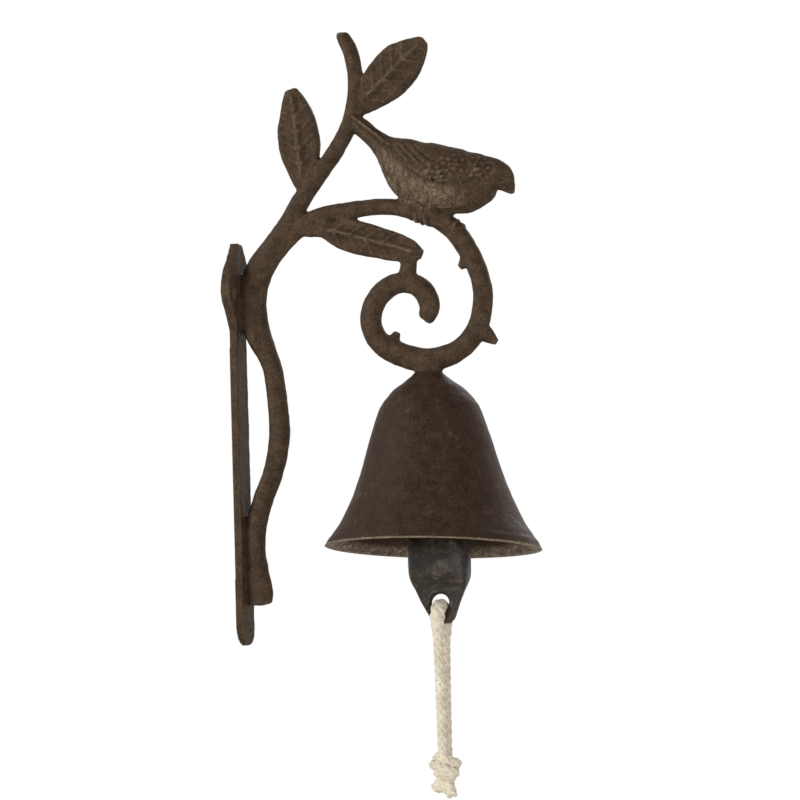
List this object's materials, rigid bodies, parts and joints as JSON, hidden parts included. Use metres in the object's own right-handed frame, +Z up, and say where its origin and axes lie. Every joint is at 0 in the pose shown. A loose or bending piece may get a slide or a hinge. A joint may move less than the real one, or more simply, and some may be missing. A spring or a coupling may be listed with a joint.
{
  "type": "wall bell",
  "caption": "Cast iron wall bell: a flat strip carries a branch bracket with leaves, a perched bird and a scroll; under it hangs a flared bell with a hooked clapper and a rope pull.",
  "frame": {"origin": "centre of the wall strip's flat back face, where the bracket meets the wall", "axes": "+X out of the wall, +Z up, and the branch, scroll, bird and bell axis lie in the plane Y = 0"},
  "size_m": [0.131, 0.09, 0.3239],
  "materials": {
    "cast_iron": "rough, waxed and lightly rusted",
    "ground_iron": "rough casting with a ground rim",
    "clapper_iron": "worn bare and satin",
    "zinc_steel": "dull zinc plate",
    "cotton": "braided natural cotton"
  },
  "bodies": {
    "bracket": {"bracket": "cast_iron", "bell": "ground_iron", "eye_bolt": "zinc_steel", "washer": "zinc_steel", "lock_nut": "zinc_steel"},
    "hook": {"clapper_hook": "zinc_steel"},
    "clapper": {"clapper": "clapper_iron"},
    "rope": {"pull_rope": "cotton", "rope_knot": "cotton"}
  },
  "joints": [
    {"name": "clapper_swing", "type": "hinge", "parent": "bracket", "child": "hook", "pos_m": [0.087, 0, 0.00225], "axis": [0, 1, 0], "range_deg": [-22, 22]},
    {"name": "clapper_sway", "type": "hinge", "parent": "hook", "child": "clapper", "pos_m": [0.087, 0, -0.02415], "axis": [1, 0, 0], "range_deg": [-10, 10]},
    {"name": "rope_swing", "type": "hinge", "parent": "clapper", "child": "rope", "pos_m": [0.087, 0, -0.0718], "axis": [0, 1, 0], "range_deg": [-35, 35]}
  ]
}
